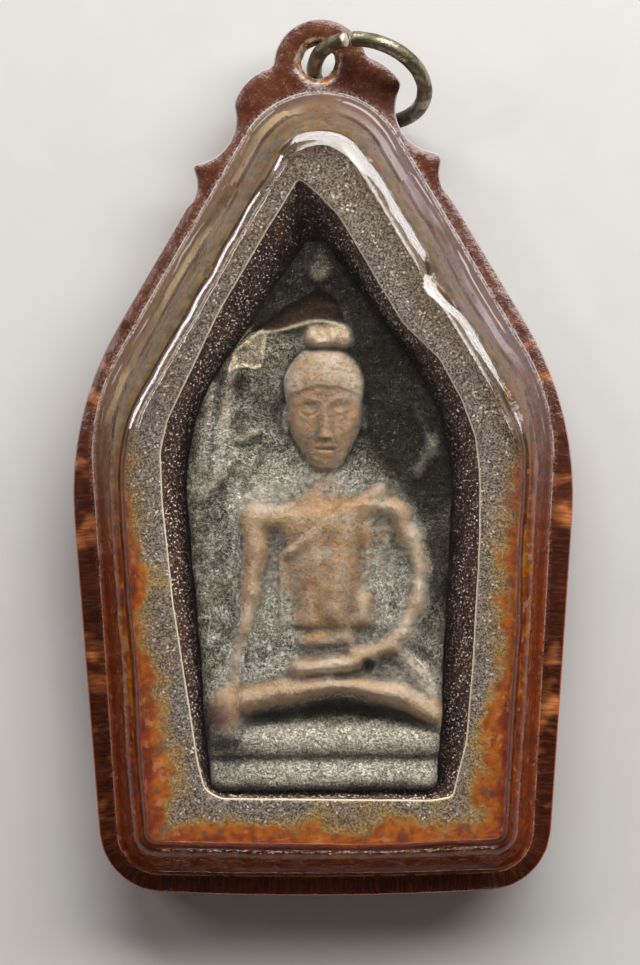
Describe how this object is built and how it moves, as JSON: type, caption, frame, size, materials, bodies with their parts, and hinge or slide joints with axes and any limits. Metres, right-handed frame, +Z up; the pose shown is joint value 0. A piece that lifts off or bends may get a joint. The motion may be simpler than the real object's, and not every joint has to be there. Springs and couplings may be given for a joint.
{
  "type": "thai buddha amulet pendant",
  "caption": "House-shaped clay votive tablet of a seated figure under a clear two-part acrylic case with a scrolled crest, loop hole and open jump ring.",
  "frame": {"origin": "on the surface that the pendant lies on, below the middle of its width and length", "axes": "+X to the wearer's left as seen from the front, +Y towards the loop, +Z up out of the front face"},
  "size_m": [0.0376, 0.0658, 0.01],
  "materials": {
    "aged_acrylic": "clear acrylic, aged amber to reddish brown, crazed and scratched along its edges",
    "gritty_lining": "dark maroon grit with bright specks",
    "fired_clay": "unglazed grey-green clay, worn smooth and ochre on the raised parts",
    "foil_card": "card faced with grey grained foil, stained yellow to rust along its outer edge",
    "tarnished_ring": "tarnished brass with worn bright spots"
  },
  "bodies": {
    "root": {"back_shell": "aged_acrylic", "pocket_lining": "gritty_lining", "tablet": "fired_clay", "foil_mat": "foil_card", "front_shell": "aged_acrylic", "jump_ring": "tarnished_ring"}
  },
  "joints": []
}
